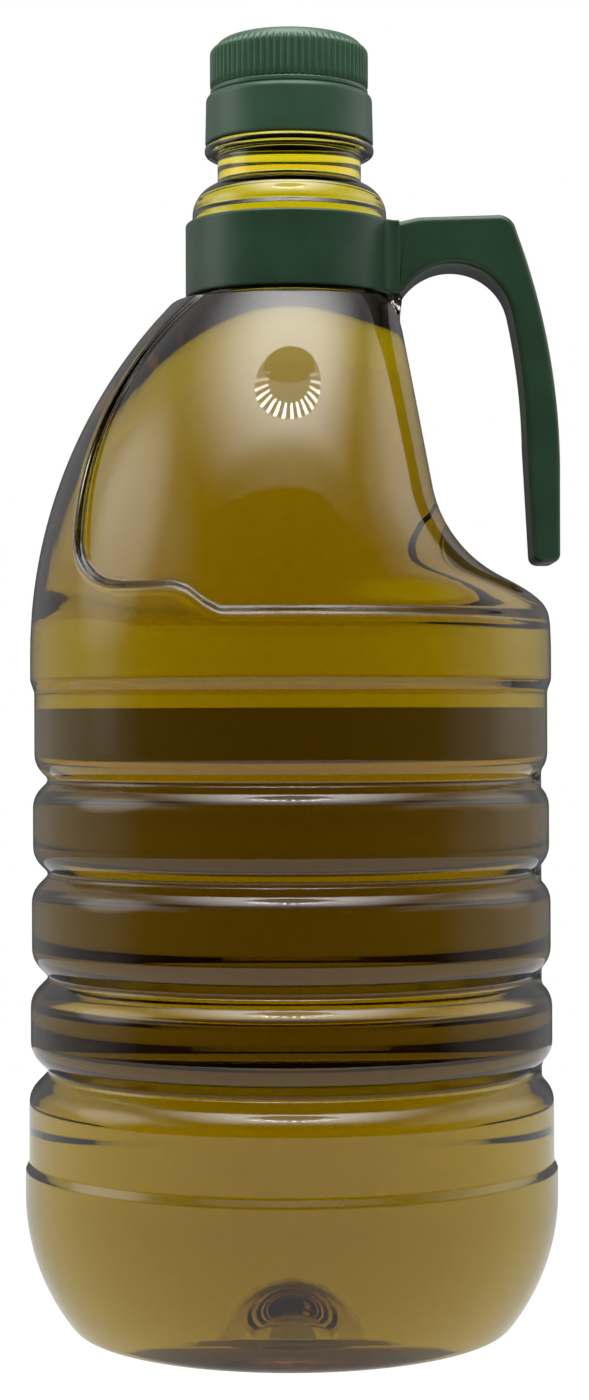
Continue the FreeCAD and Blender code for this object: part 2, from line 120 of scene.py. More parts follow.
def rounded(corners, step=7.0):
    """A run of straight lines through corners (x, y, radius), each corner an arc tangent to both lines.

    The arc's centre lies on the bisector of the two lines, at radius / sin(half the angle between them).
    A straight stretch gets a point close to each of its ends, which keeps it flat when it is smoothed.
    """
    runs = [np.array([corners[0][:2]], float)]
    for before, corner, after in zip(corners, corners[1:], corners[2:]):
        place, radius = np.array(corner[:2], float), corner[2]
        back, ahead = unit(np.array(before[:2]) - place), unit(np.array(after[:2]) - place)
        half = math.acos(np.clip(back @ ahead, -1, 1)) / 2
        centre = place + unit(back + ahead) * radius / math.sin(half)
        reach = radius / math.tan(half)
        start = math.degrees(math.atan2(*(place + back * reach - centre)[::-1]))
        stop = math.degrees(math.atan2(*(place + ahead * reach - centre)[::-1]))
        stop = start + (stop - start + 180) % 360 - 180
        coarse = 1.5 if radius < 2.5 else 1.0
        runs.append(arc(centre, radius, start, stop, max(3, round(abs(stop - start) / step / coarse) + 1)))
    runs.append(np.array([corners[-1][:2]], float))
    points = [runs[0]]
    for before, after in zip(runs, runs[1:]):
        gap = after[0] - before[-1]
        share = min(0.25 / max(np.linalg.norm(gap), 1e-6), 0.3)
        points += [before[-1:] + gap * share, after[:1] - gap * share, after]
    return joined(*points)


def joined(*runs):
    """One run of points out of several, without the doubles where they meet."""
    path = np.vstack(runs)
    keep = np.r_[True, np.linalg.norm(np.diff(path, axis=0), axis=1) > 1e-4]
    return path[keep]


def split_long(path, longest, model=None):
    """The path with every run longer than a length divided evenly, by the lengths of a like path."""
    lengths = np.linalg.norm(np.diff(path if model is None else model, axis=0), axis=1)
    counts = np.maximum(1, np.ceil(lengths / longest)).astype(int)
    stations = np.concatenate([n + np.arange(count) / count for n, count in enumerate(counts)] + [[len(path) - 1]])
    whole = np.arange(len(path))
    return np.column_stack([np.interp(stations, whole, path[:, k]) for k in range(2)])


def smooth_step(value, low, high):
    """0 below low, 1 above high, and 3t^2 - 2t^3 between them."""
    step = np.clip((value - low) / (high - low), 0, 1)
    return step * step * (3 - 2 * step)


def smooth_min(first, second, reach):
    """The lesser of two, rounded off where they come within reach of each other."""
    near = np.clip(1 - np.abs(first - second) / reach, 0, 1)
    return np.minimum(first, second) - near ** 2 * reach / 4


# ---------------------------------------------------------------- bottle

BASE_ARC = (12.95, 31.0, 47.0)
OGIVE = (-55.35, 151.5, 114.0)
DOME_ARC = (14.7, 250.6, 7.2)
SHOULDER = 230.9
SEAT = 21.9
NECK = 16.2
LIP = CAP_BOX[1].z / MM - 2.0
VALLEY = 54.4
VALLEYS = (58.5, 79.6, 102.7, 123.7)
BANDS = (59.1, 58.7, 58.4, 58.1, 57.75)
# How far an arc turns from one point to the next on the inside, in degrees.
INSIDE_STEP = 12.0
CLOSURE_BORE = 16.4
COLLAR_BORE = 22.05


def valley_corners(inset, rib_rounding, valley_rounding):
    """The corners of the four valleys, whose sides stand at 45 degrees."""
    corners = []
    for valley, below, above in zip(VALLEYS, BANDS, BANDS[1:]):
        corners += [(below - inset, valley - below + VALLEY, rib_rounding - inset),
                    (VALLEY - inset, valley, valley_rounding + inset),
                    (above - inset, valley + above - VALLEY, rib_rounding - inset)]
    return corners


def bottle_outline(sizes, inset, step):
    """The round form's outline as (radius, height) from the axis under the foot up to the seat's dome.

    The foot is hollow with a boss in its middle; then come the rounded base, the lower band, the ribs
    between the valleys, the waist, the long arc of the shoulder and the seat of the handle.
    """
    foot = 5.0
    turn = math.degrees(math.asin((BASE_ARC[1] - foot) / (BASE_ARC[2] - foot)))
    foot_centre = BASE_ARC[0] + (BASE_ARC[2] - foot) * math.cos(math.radians(turn))
    fillet = 2.2
    rise = SHOULDER - fillet - OGIVE[1]
    shoulder_turn = math.asin(rise / (OGIVE[2] - fillet))
    shoulder_centre = OGIVE[0] + (OGIVE[2] - fillet) * math.cos(shoulder_turn)
    spread = 7.0 / step
    boss_edge = arc((0, 6.2), 11.5 + inset, 20, 20, 1)[0]
    ogive = np.arcsin((shoulder_heights(step) - OGIVE[1]) / OGIVE[2])
    ogive = np.append(ogive[ogive < shoulder_turn - 0.008], shoulder_turn)
    ogive = OGIVE[:2] + (OGIVE[2] - inset) * np.column_stack([np.cos(ogive), np.sin(ogive)])
    return joined(
        arc((0, 6.2), 11.5 + inset, 89.9, 20, int(13 * spread)),
        rounded([(*boss_edge, 0), (11.4 + 0.9 * inset, 8.8 + inset, 1.5), (16.5, 9.6 + inset, 4.0),
                 (21.5, 8.0 + inset, 6.0), (24.5, 8.0 + inset, 0)], step * 0.8),
        arc_between((24.5, 8.0 + inset), (43, inset), 50, -1, int(12 * spread)),
        arc((foot_centre, foot), foot - inset, -90, -turn, int(9 * spread)),
        arc(BASE_ARC[:2], BASE_ARC[2] - inset, -turn, 0, int(18 * spread)),
        rounded([(59.95 - inset, 31.0, 0), (59.95 - inset, 36.8, 0.8), (59.1 - inset, 38.6, 0.8)]
                + valley_corners(inset, sizes.rib_rounding / MM, sizes.valley_rounding / MM)
                + [(57.75 - inset, 143.3, 2.0), (58.65 - inset, 145.9, 2.0), (58.65 - inset, 151.5, 0)], step),
        ogive,
        arc((shoulder_centre, SHOULDER - fillet), fillet - inset, math.degrees(shoulder_turn), 90, 7),
        rounded([(shoulder_centre, SHOULDER - inset, 0), (SEAT - inset, SHOULDER - inset, 0.5),
                 (SEAT - inset, DOME_ARC[1], 0)], step),
    )


def shoulder_heights(step):
    """Heights up the shoulder, closest together at the ledge, where the panel steps in."""
    stops = [(151.5, 1.3), (156.2, 0.5), (158.5, 0.25), (161.2, 0.5), (163.2, 0.8), (176.0, 1.9), (229.0, 1.9)]
    return np.concatenate([np.linspace(low, high, max(2, int((high - low) / gap * 7.0 / step)), endpoint=False)
                           for (low, gap), (high, _) in zip(stops, stops[1:])])


def neck_outline(sizes):
    """The outside of the dome, the neck and the support ring, then over the lip."""
    end = math.degrees(math.acos((NECK - DOME_ARC[0]) / DOME_ARC[2]))
    bore = NECK - sizes.neck_wall / MM
    return joined(
        arc(DOME_ARC[:2], DOME_ARC[2], 0, end - 6, 10),
        rounded([(NECK + 0.5, 257.55, 0), (NECK, 258.4, 0.8), (NECK, 264.0, 0.5), (19.1, 264.0, 1.25),
                 (19.1, 266.7, 1.25), (NECK, 266.7, 0.2), (NECK, LIP, 0.5), (bore, LIP, 0.5), (bore, LIP - 3, 0)]),
    )


def bore_outline(sizes, inset):
    """The inside of the dome and the neck, where the wall thickens, from the dome up to the lip."""
    bore = NECK - sizes.neck_wall / MM + (sizes.wall / MM - inset)
    turn = math.radians(10)
    start = (DOME_ARC[0] + (DOME_ARC[2] - inset) * math.cos(turn), DOME_ARC[1] + (DOME_ARC[2] - inset) * math.sin(turn))
    return joined(
        arc(DOME_ARC[:2], DOME_ARC[2] - inset, 0, 10, 3),
        rounded([(*start, 0), (20.9 - inset, 252.9, 3.0), (bore, 258.0, 2.0), (bore, LIP - 3, 0)]),
    )


def jug_turns():
    """Angles round the axis in radians: close together at the ridges and at the handle side."""
    stops = [(0, 1.6), (5.6, 0.78), (9.5, 3.65), (136, 1.4), (142.6, 0.55), (149.4, 1.5), (158, 3.65), (180, 1)]
    half = np.concatenate([np.linspace(low, high, round((high - low) / gap) + 1, endpoint=False)
                           for (low, gap), (high, _) in zip(stops, stops[1:])])
    half = np.radians(np.append(half, 180))
    return np.concatenate([half, -half[-2:0:-1]])


NOTCH_RISE = 5.7
RIDGE_ARC = (25.3, 175.5, 71.0)
RIDGE_TURN = math.radians(146)


def ledge_rise(x):
    """How far the panel's lower edge stands above the ledge: up at the notch."""
    return NOTCH_RISE * (1 - smooth_step(x, -24.2, -14.1))


def ridge_run(z):
    """Where the panel's left edge lies: upright, and above the corner an arc leaning inwards."""
    lean = np.sqrt(RIDGE_ARC[2] ** 2 - np.maximum(z - RIDGE_ARC[1], 0) ** 2)
    return RIDGE_ARC[0] - lean


def led_rows(radius, z, turns, inset):
    """Bends the grid so that its rows follow the panel's lower edge and its columns the two ridges."""
    rise = ledge_rise(radius * np.cos(turns)) * smooth_step(z, 151.5, 158) * (1 - smooth_step(z, 164, 190))
    lifted = z + rise
    arc_radius = np.sqrt(np.maximum((OGIVE[2] - inset) ** 2 - (lifted - OGIVE[1]) ** 2, 0)) + OGIVE[0]
    radius = np.where(rise != 0, arc_radius, radius)
    ridge = np.arccos(np.clip(ridge_run(np.minimum(lifted, SHOULDER)) / radius, -1, 1))
    near = smooth_step(np.abs(turns), math.radians(112), math.radians(140))
    near = near * (1 - smooth_step(np.abs(turns), math.radians(152), math.radians(174)))
    swing = (ridge - RIDGE_TURN) * near * smooth_step(lifted, 152, 166) * smooth_step(radius, 22.0, 25.5)
    return radius, lifted, turns + np.sign(turns) * swing


def panel_mask(x, y, z, edge, ledge):
    """1 in the sunk panel and 0 outside, by the distance inside its outline seen from the front.

    The outline's ridge is an arc that ends upright, a corner of radius 10, a level stretch at the
    notch, a slant and the level ledge, whose edge widens towards the hand scoop. On the far side
    the step is softer.
    """
    low = z - ledge - ledge_rise(x)
    centre_x, centre_z = RIDGE_ARC[0] - RIDGE_ARC[2] + 10, ledge + NOTCH_RISE + 10
    ridge = np.where(z > RIDGE_ARC[1], RIDGE_ARC[2] - np.hypot(x - RIDGE_ARC[0], z - RIDGE_ARC[1]),
                     x - centre_x + 10)
    corner = 10 - np.hypot(np.minimum(x - centre_x, 0), np.minimum(z - centre_z, 0))
    inside = np.where((x < centre_x) & (z < centre_z), corner, np.minimum(low, ridge))
    half = edge / 2 * (1 + 0.6 * smooth_step(x, 38, 52)) * np.where(y > 0, 2.6 + 2.6 * smooth_step(x, 15, 35), 1.0)
    return smooth_step(inside, -half, half)


def scoop_reach(z):
    """How far the scooped side stands out at a height: a leaning line, an arc and a sloping floor."""
    lean, floor, radius = math.radians(10.5), math.radians(26.0), 28.0
    start = 189.0
    centre, level = 32.0 + radius * math.cos(lean), start + radius * math.sin(lean)
    line = 32.0 - (z - start) * math.tan(lean)
    bend = centre - np.sqrt(np.maximum(radius ** 2 - (level - z) ** 2, 0))
    foot = level - radius * math.cos(floor)
    slope = centre - radius * math.sin(floor) + (foot - z) / math.tan(floor)
    return np.where(z >= start, line, np.where(z >= foot, bend, slope))


def shoulder(x, y, z, inset, sizes):
    """Sinks the panel and the hand scoop into the round form, given as arrays of rows by columns.

    Left of the middle a point moves straight towards the mid-plane onto a circle that is smaller
    by the recess. To the right it moves onto a cubic curve from the side to the scoop's reach.
    """
    outer = np.hypot(x, y)
    height = np.minimum(z, SHOULDER - inset)
    recess = sizes.panel_recess / MM * (1 - 0.45 * smooth_step(height, 172, 222))
    depth = outer - recess
    reach = smooth_min(scoop_reach(height + inset) - inset, outer - 0.15, 7.0)
    along = np.abs(np.arctan2(y, x)) / (math.pi / 2)
    ratio = reach / depth
    widest = (8 / np.hypot(1, ratio) - 4) / 3
    handle = smooth_min(np.full_like(ratio, 0.70), widest, 0.2)
    t = np.clip(along, 0, 1)
    curve_x = reach * ((1 - t) ** 3 + 3 * (1 - t) ** 2 * t + 3 * (1 - t) * t ** 2 * handle)
    curve_y = depth * (3 * (1 - t) ** 2 * t * handle + 3 * (1 - t) * t ** 2 + t ** 3)
    left_y = np.sqrt(np.maximum(depth ** 2 - x ** 2, 0))
    left = along >= 1
    sunk_x = np.where(left, x, curve_x)
    sunk_y = np.where(left, left_y, curve_y) * np.sign(y)
    mask = panel_mask(x, y, height, sizes.panel_edge / MM, sizes.ledge_height / MM - inset)
    return x + (sunk_x - x) * mask, y + (sunk_y - y) * mask


def pillar(x, y, z, inset):
    """Fills the valleys at the handle side out to a flat upright face."""
    face = 56.0 - inset
    wide = 1 - smooth_step(np.abs(y), 7.0 - inset, 8.2 - inset)
    tall = smooth_step(z, 52.0, 54.0) * (1 - smooth_step(z, 128.0, 130.0))
    push = np.maximum(face - x, 0) * wide * tall * (x > 40)
    return x + push


def lug(x, y, z):
    """A small block on the shoulder beside the collar: the rows there stand out to its end face."""
    wide = 1 - smooth_step(np.abs(y), 3.4, 4.3)
    low = smooth_step(z, 226.0, 227.2)
    from_seat = smooth_step(np.hypot(x, y), SEAT + 0.6, SEAT + 1.6)
    amount = wide * low * from_seat * (x > 0)
    end = 25.9 - 0.25 * (232.3 - z)
    return x + np.maximum(end - x, 0) * amount * smooth_step(x, 22.0, 23.5), z + 1.4 * amount * (z > 230.0)


def bottle_surface(sizes, inset, outside, step=8.6):
    """The bottle's round form turned about the axis, with the panel, scoop, pillar and lug put in."""
    path = split_long(bottle_outline(sizes, inset, step), 4.5, bottle_outline(sizes, 0.0, step))
    turns = jug_turns()
    radius, z = (np.repeat(path[:, k:k + 1], len(turns), axis=1) for k in range(2))
    turns = np.repeat(turns[None], len(path), axis=0)
    first = int(np.argmax(path[:, 1] > OGIVE[1] + 0.01))
    seat = (path[:, 1] > SHOULDER - 6) & (path[:, 0] < SEAT - inset + 0.01)
    last = int(np.argmax(seat))
    shelf = slice(first, last)
    radius[shelf], z[shelf], turns[shelf] = led_rows(radius[shelf], z[shelf], turns[shelf], inset)
    x, y = radius * np.cos(turns), radius * np.sin(turns)
    x[shelf], y[shelf] = shoulder(x[shelf], y[shelf], z[shelf], inset, sizes)
    x = pillar(x, y, z, inset)
    if outside:
        rows = (path[:, 1] > 225) & (path[:, 1] < 231.2)
        x[rows], z[rows] = lug(x[rows], y[rows], z[rows])
    return x, y, z


def turned(path):
    """A plain surface of revolution on the jug's own columns."""
    turns = jug_turns()
    return (path[:, :1] * np.cos(turns), path[:, :1] * np.sin(turns),
            np.repeat(path[:, 1:], len(turns), axis=1))


def stacked(*surfaces):
    return [np.vstack(parts) for parts in zip(*surfaces)]


# ---------------------------------------------------------------- meshes

def ring_grid(x, y, z, first_pole=True, last_pole=True, flip=False):
    """Vertices and faces of a grid that closes round its columns, and to a point at each end row.

    A pole takes the mean of its end row. Quads are sorted so that rows rising in height face outwards.
    """
    rows, columns = x.shape
    points = np.stack([x, y, z], axis=-1).reshape(-1, 3)
    index = np.arange(rows * columns).reshape(rows, columns)
    beside = np.roll(index, -1, axis=1)
    quads = np.stack([index[:-1], beside[:-1], beside[1:], index[1:]], axis=-1).reshape(-1, 4)
    faces = quads.tolist()
    if first_pole:
        points = np.vstack([points, points[:columns].mean(axis=0)])
        pole = len(points) - 1
        faces += [[int(b), int(a), pole] for a, b in zip(index[0], beside[0])]
    if last_pole:
        points = np.vstack([points, points[(rows - 1) * columns:rows * columns].mean(axis=0)])
        pole = len(points) - 1
        faces += [[int(a), int(b), pole] for a, b in zip(index[-1], beside[-1])]
    if flip:
        faces = [face[::-1] for face in faces]
    return points, faces


def put_mesh(name, parts, materials):
    """A piece from (points in mm, faces, material number) parts, riding on the jug."""
    points, faces, numbers = [], [], []
    for part_points, part_faces, number in parts:
        start = sum(len(p) for p in points)
        points.append(part_points)
        faces += [[corner + start for corner in face] for face in part_faces]
        numbers += [number] * len(part_faces) if np.isscalar(number) else list(number)
    mesh = bpy.data.meshes.new(name)
    mesh.from_pydata((np.vstack(points) * MM).tolist(), [], faces)
    mesh.polygons.foreach_set("use_smooth", np.ones(len(faces), bool))
    mesh.polygons.foreach_set("material_index", np.array(numbers, np.int32))
    for material in materials:
        mesh.materials.append(material)
    mesh.update()
    piece = bpy.data.objects.new(name, mesh)
    bpy.context.scene.collection.objects.link(piece)
    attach(piece, "root")
    return piece


# ---------------------------------------------------------------- shading

class Wire:
    """A shader socket in a sum: every operator on it adds the Math node that it stands for."""

    def __init__(self, tree, socket):
        self.tree, self.socket = tree, socket

    def maths(self, operation, *values):
        node = self.tree.nodes.new("ShaderNodeMath")
        node.operation = operation
        for slot, value in zip(node.inputs, values or (self,)):
            if isinstance(value, Wire):
                self.tree.links.new(value.socket, slot)
            else:
                slot.default_value = value
        return Wire(self.tree, node.outputs[0])

    def __add__(self, other):
        return self.maths("ADD", self, other)

    def __sub__(self, other):
        return self.maths("SUBTRACT", self, other)

    def __neg__(self):
        return self.maths("MULTIPLY", self, -1)

    def __rsub__(self, other):
        return self.maths("SUBTRACT", other, self)

    def __mul__(self, other):
        return self.maths("MULTIPLY", self, other)

    def __truediv__(self, other):
        return self.maths("DIVIDE", self, other)

    __radd__ = __add__
    __rmul__ = __mul__

    def steps(self, low, high):
        """0 below low and 1 above high, smooth between."""
        node = self.tree.nodes.new("ShaderNodeMapRange")
        node.interpolation_type = "SMOOTHSTEP"
        self.tree.links.new(self.socket, node.inputs["Value"])
        node.inputs["From Min"].default_value = low
        node.inputs["From Max"].default_value = high
        return Wire(self.tree, node.outputs[0])


class Nodes:
    """A node tree that is being filled."""

    def __init__(self, tree):
        self.tree = tree
        tree.nodes.clear()

    def add(self, kind, settings=(), output=0, **values):
        """A node with its settings made first, then its inputs by name or by number as _0, _1."""
        node = self.tree.nodes.new("ShaderNode" + kind)
        for key, value in dict(settings).items():
            if key == "stops":
                ramp = node.color_ramp
                while len(ramp.elements) < len(value):
                    ramp.elements.new(0.5)
                for element, (place, shade) in zip(ramp.elements, value):
                    element.position, element.color = place, shade
            else:
                setattr(node, key, value)
        for key, value in values.items():
            slot = node.inputs[int(key[1:])] if key.startswith("_") else node.inputs[key.replace("_", " ")]
            if isinstance(value, Wire):
                self.tree.links.new(value.socket, slot)
            else:
                slot.default_value = value
        return Wire(self.tree, node.outputs[output]) if node.outputs else None


def material(name):
    made = bpy.data.materials.new(name)
    made.use_nodes = True
    return made, Nodes(made.node_tree)


def clear_plastic(name, reflects):
    """Clear blown plastic. Its inner face reflects nothing, because oil lies against it."""
    made, nodes = material(name)
    shader = nodes.add("BsdfPrincipled", Base_Color=(0.985, 0.988, 0.985, 1), Roughness=0.0,
                       IOR=1.575, Transmission_Weight=1.0,
                       Specular_Tint=(1, 1, 1, 1) if reflects else (0, 0, 0, 1))
    nodes.add("OutputMaterial", Surface=shader)
    return made


def oil_liquid(colours):
    """Clear oil: all of its colour is taken up along the way through it."""
    made, nodes = material("olive_oil")
    shader = nodes.add("BsdfPrincipled", Base_Color=(1, 1, 1, 1), Roughness=0.0, IOR=1.47,
                       Transmission_Weight=1.0, Specular_Tint=(0, 0, 0, 1))
    depth = nodes.add("VolumeAbsorption", Color=(*colours.oil, 1), Density=colours.oil_density)
    nodes.add("OutputMaterial", Surface=shader, Volume=depth)
    return made


def moulded_green(name, tint, roughness):
    """Moulded polypropylene: soft sheen, a fine grain and slightly uneven gloss."""
    made, nodes = material(name)
    place = nodes.add("TexCoord", output=3)
    grain = nodes.add("TexNoise", Vector=place, Scale=2600.0, Detail=2.0, Roughness=0.5)
    cloud = nodes.add("TexNoise", Vector=place, Scale=90.0, Detail=3.0, Roughness=0.55)
    shade = nodes.add("Mix", {"data_type": "RGBA"}, output=2, _0=cloud.steps(0.3, 0.7),
                      _6=(*[0.88 * part for part in tint], 1), _7=(*[1.12 * part for part in tint], 1))
    bump = nodes.add("Bump", Strength=0.12, Distance=0.0002, Height=grain)
    shader = nodes.add("BsdfPrincipled", Base_Color=shade, Roughness=roughness + 0.08 * (cloud - 0.5),
                       IOR=1.49, Normal=bump)
    nodes.add("OutputMaterial", Surface=shader)
    return made


# ---------------------------------------------------------------- pieces

class JUG_OT_bottle(Operator):
    """Blow the clear bottle: one closed shell with its outside, its lip and its inside"""
    bl_idname = "oil_jug.bottle"
    bl_label = "Bottle"

    def execute(self, context):
        sizes = context.scene.jug_sizes
        wall = sizes.wall / MM
        outside = stacked(bottle_surface(sizes, 0.0, True), turned(split_long(neck_outline(sizes), 4.0)))
        inside = stacked(bottle_surface(sizes, wall, False, INSIDE_STEP),
                         turned(split_long(bore_outline(sizes, wall), 5.0)))
        inside = [part[::-1] for part in inside]
        skin = ring_grid(*stacked(outside, inside))
        rows = len(outside[0])
        columns = outside[0].shape[1]
        total = len(skin[1])
        numbers = np.zeros(total, int)
        numbers[rows * columns:(total - 2 * columns)] = 1
        numbers[total - columns:] = 1
        piece = put_mesh("bottle_shell", [(*skin, numbers)],
                         [clear_plastic("clear_plastic", True), clear_plastic("clear_plastic_inside", False)])
        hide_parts("bottle")
        return {"FINISHED"}


class JUG_OT_oil(Operator):
    """Fill the bottle with oil that reaches just into the wall"""
    bl_idname = "oil_jug.oil"
    bl_label = "Oil"

    def execute(self, context):
        sizes = context.scene.jug_sizes
        inset = (sizes.wall - sizes.oil_overlap) / MM
        level = OIL_BOX[1].z / MM
        bore = bore_outline(sizes, inset)
        bore = bore[bore[:, 1] < level - 0.5]
        edge = bore[-1, 0]
        bore = joined(bore, [[edge, level - 0.1], [edge - 0.8, level - 0.8], [edge - 2.5, level - 1.0]])
        body = stacked(bottle_surface(sizes, inset, False, INSIDE_STEP), turned(split_long(bore, 5.0)))
        piece = put_mesh("oil_fill", [(*ring_grid(*body), 0)], [oil_liquid(context.scene.jug_colours)])
        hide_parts("oil")
        return {"FINISHED"}


def cap_surface(ribs):
    """The cap as (x, y, z) arrays: a bead, upright ribs and a rounded top that ends in a pole.

    A rib's height round the cap is (1/2 + 1/2 cos of ribs times the angle) to the power 0.7, and it
    fades in above the bead and out on the rounding of the top.
    """
    low, high = CAP_BOX[0].z / MM, CAP_BOX[1].z / MM
    path = split_long(rounded([
        (0.4, high - 2, 0), (CLOSURE_BORE, high - 2, 0.5), (CLOSURE_BORE, low, 0.15), (17.8, low, 0.35),
        (17.8, low + 1.05, 0.35), (17.15, low + 1.3, 0.15), (17.15, high, 3.6), (0.4, high, 0)]), 1.2)
    turns = np.linspace(0, 2 * math.pi, ribs * 8, endpoint=False)
    rib = 0.72 * (0.5 + 0.5 * np.cos(ribs * turns)) ** 0.7
    tall = smooth_step(path[:, 1], low + 1.25, low + 1.75) * (1 - smooth_step(path[:, 1], high - 2.9, high - 1.4))
    outer = path[:, 0] > CLOSURE_BORE + 0.2
    radius = path[:, :1] + rib * (tall * outer)[:, None]
    return radius * np.cos(turns), radius * np.sin(turns), np.repeat(path[:, 1:], len(turns), axis=1)


def band_path():
    """The band's closed outline: a slight cone with a well rounded top edge."""
    low, high = BAND_BOX[0].z / MM, BAND_BOX[1].z / MM
    corners = [(CLOSURE_BORE, low + 3, 0), (CLOSURE_BORE, low, 0.2), (18.98, low, 0.45), (18.72, high, 1.5),
               (CLOSURE_BORE, high, 0.2), (CLOSURE_BORE, low + 3, 0)]
    return split_long(rounded(corners), 2.0)


def collar_path():
    low, high = 232.1, 248.8
    corners = [(COLLAR_BORE, low + 5, 0), (COLLAR_BORE, low, 0.3), (23.45, low, 0.5), (23.45, high, 0.7),
               (COLLAR_BORE, high, 0.45), (COLLAR_BORE, low + 5, 0)]
    return split_long(rounded(corners), 2.0)


def closed_ring(path, columns=160):
    """Vertices and faces of an outline, whose ends meet, turned about the axis."""
    turns = np.linspace(0, 2 * math.pi, columns, endpoint=False)
    path = path[:-1]
    points = np.stack([path[:, :1] * np.cos(turns), path[:, :1] * np.sin(turns),
                       np.repeat(path[:, 1:], columns, axis=1)], axis=-1).reshape(-1, 3)
    index = np.arange(len(points)).reshape(len(path), columns)
    return points, quads_between(index, np.roll(index, -1, axis=0))


def quads_between(index, after):
    beside, beyond = np.roll(index, -1, axis=1), np.roll(after, -1, axis=1)
    return np.stack([index, beside, beyond, after], axis=-1).reshape(-1, 4).tolist()


def evened(path, count):
    """The path as a number of points an equal way apart along it."""
    way = np.append(0, np.cumsum(np.linalg.norm(np.diff(path, axis=0), axis=1)))
    stations = np.linspace(0, way[-1], count)
    return np.column_stack([np.interp(stations, way, path[:, k]) for k in range(2)])


def arm_outline():
    """The arm and the grip seen from the front, as a closed run of points (x, z).

    Under the arm lies an arch; the grip bows outwards and ends free, and the top meets the collar.
    The first half of the points runs along the arch and inside the grip, the second half back outside.
    """
    arch, radius = (36.6, 225.6), 13.2
    end = (arch[0] + radius * math.cos(math.radians(11)), arch[1] + radius * math.sin(math.radians(11)))
    inner = joined(
        np.array([[22.5, 232.5], [25.0, 232.5]]),
        arc(arch, radius, 148.5, 11, 50),
        arc_between(end, (52.9, 198.7), 150, -1, 18),
        rounded([(52.9, 198.7, 0), (54.4, 172.0, 1.9), (57.4, 172.0, 0)]),
    )
    outer = joined(
        rounded([(57.4, 172.0, 0), (60.4, 172.0, 1.9), (60.4, 190.0, 0)]),
        arc_between((60.4, 190.0), (50.8, 246.2), 155, 1, 30),
        arc_between((50.8, 246.2), (47.2, 249.8), 4.3, 1, 14),
        rounded([(47.2, 249.8, 0), (29.0, 249.3, 6.0), (25.0, 248.4, 4.0), (22.5, 248.2, 0)]),
    )
    return np.vstack([evened(inner, 140), evened(outer, 141)[1:]])


def arm_mesh(half, edge):
    """The arm and grip as a plate: layers of the outline, drawn in towards each face by a quarter circle."""
    path = arm_outline()
    run = np.roll(path, -1, axis=0) - np.roll(path, 1, axis=0)
    inwards = np.column_stack([-run[:, 1], run[:, 0]]) / np.linalg.norm(run, axis=1)[:, None]
    area = np.sum(path[:, 0] * np.roll(path[:, 1], -1) - np.roll(path[:, 0], -1) * path[:, 1])
    inwards *= np.sign(area)
    turn = np.radians(np.linspace(0, 90, 7))
    insets = np.append(edge * (1 - np.cos(turn)), edge + 0.3)
    levels = np.append(half - edge + edge * np.sin(turn), half)
    insets, levels = np.r_[insets[::-1], insets], np.r_[-levels[::-1], levels]
    place = path[None] + inwards[None] * insets[:, None, None]
    points = np.stack([place[..., 0], np.repeat(levels[:, None], len(path), axis=1), place[..., 1]], axis=-1)
    index = np.arange(points.shape[0] * points.shape[1]).reshape(points.shape[:2])
    half_way = len(path) // 2
    near, far = (np.stack([row[:half_way - 1], row[1:half_way], row[::-1][1:half_way], row[::-1][:half_way - 1]], axis=-1)
                 for row in (index[0], index[-1]))
    faces = quads_between(index[:-1], index[1:]) + near[:, ::-1].tolist() + far.tolist()
    if area > 0:
        faces = [face[::-1] for face in faces]
    return points.reshape(-1, 3), faces


def fillet_mesh(half, side, radius=4.0):
    """The hollow round between the collar and one face of the arm, as an upright bar behind it.

    Its arc touches the collar's circle and the arm's face, so its centre is one radius off both.
    """
    ring = 23.45
    centre = (math.sqrt((ring + radius) ** 2 - (half + radius) ** 2), half + radius)
    start = 180 + math.degrees(math.atan2(centre[1], centre[0]))
    plan = np.vstack([[[ring - 3.0, half - 2.0]], arc(centre, radius, start, 270, 10), [[centre[0], half - 2.0]]])
    plan[:, 1] *= side
    heights = np.array([232.4, 232.9, 233.4, 247.6, 248.1, 248.5])
    middle = plan.mean(axis=0)
    shrink = np.array([0.94, 0.985, 1, 1, 0.985, 0.94])
    rows = middle + (plan - middle) * shrink[:, None, None]
    points = np.concatenate([rows, np.broadcast_to(heights[:, None, None], (*rows.shape[:2], 1))], axis=-1)
    index = np.arange(points.shape[0] * points.shape[1]).reshape(points.shape[:2])
    faces = quads_between(index[:-1], index[1:]) + [index[0][::-1].tolist(), index[-1].tolist()]
    if side > 0:
        faces = [face[::-1] for face in faces]
    return points.reshape(-1, 3), faces


class JUG_OT_closure(Operator):
    """Mould the ribbed screw cap and the smooth band under it"""
    bl_idname = "oil_jug.closure"
    bl_label = "Cap and band"

    def execute(self, context):
        finish = moulded_green("green_moulding", context.scene.jug_colours.cap, 0.29)
        surface = cap_surface(context.scene.jug_sizes.cap_ribs)
        cap = put_mesh("screw_cap", [(*ring_grid(*surface), 0)], [finish])
        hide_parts("cap")
        finish = moulded_green("green_band", context.scene.jug_colours.band, 0.36)
        band = put_mesh("cap_band", [(*closed_ring(band_path()), 0)], [finish])
        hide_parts("band")
        return {"FINISHED"}


class JUG_OT_handle(Operator):
    """Mould the handle: a collar, an arm and a grip with rounded edges"""
    bl_idname = "oil_jug.handle"
    bl_label = "Handle"

    def execute(self, context):
        finish = moulded_green("green_handle", context.scene.jug_colours.handle, 0.34)
        parts = [arm_mesh(8.2, 1.3), closed_ring(collar_path()), fillet_mesh(8.2, 1), fillet_mesh(8.2, -1)]
        piece = put_mesh("jug_handle", [(*part, 0) for part in parts], [finish])
        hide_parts("handle")
        return {"FINISHED"}


# ---------------------------------------------------------------- stage

